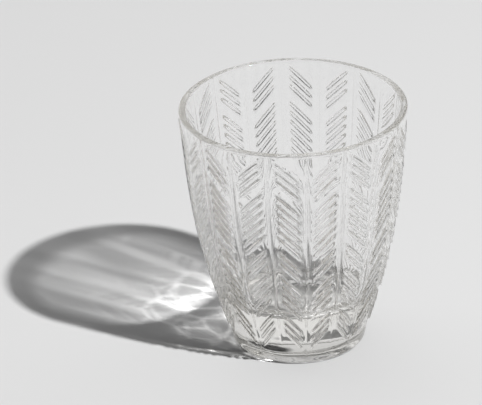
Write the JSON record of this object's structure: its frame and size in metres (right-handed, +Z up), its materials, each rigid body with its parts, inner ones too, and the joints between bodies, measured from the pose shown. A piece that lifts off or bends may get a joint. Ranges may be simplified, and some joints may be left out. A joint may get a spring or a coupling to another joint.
{
  "type": "whiskey tumbler",
  "caption": "Clear pressed-glass tumbler with a thick base, a fire-polished rim and raised chevron ribs round a tapering wall.",
  "frame": {"origin": "middle of the foot, on the surface the tumbler stands on", "axes": "+Z up along the tumbler's axis of symmetry; +X to the right and -Y towards the viewer, both arbitrary on a round glass"},
  "size_m": [0.0892, 0.0892, 0.1],
  "materials": {
    "clear_glass": "clear pressed soda-lime glass, fire polished, smooth inside and ribbed outside"
  },
  "bodies": {
    "root": {"tumbler_glass": "clear_glass"}
  },
  "joints": []
}
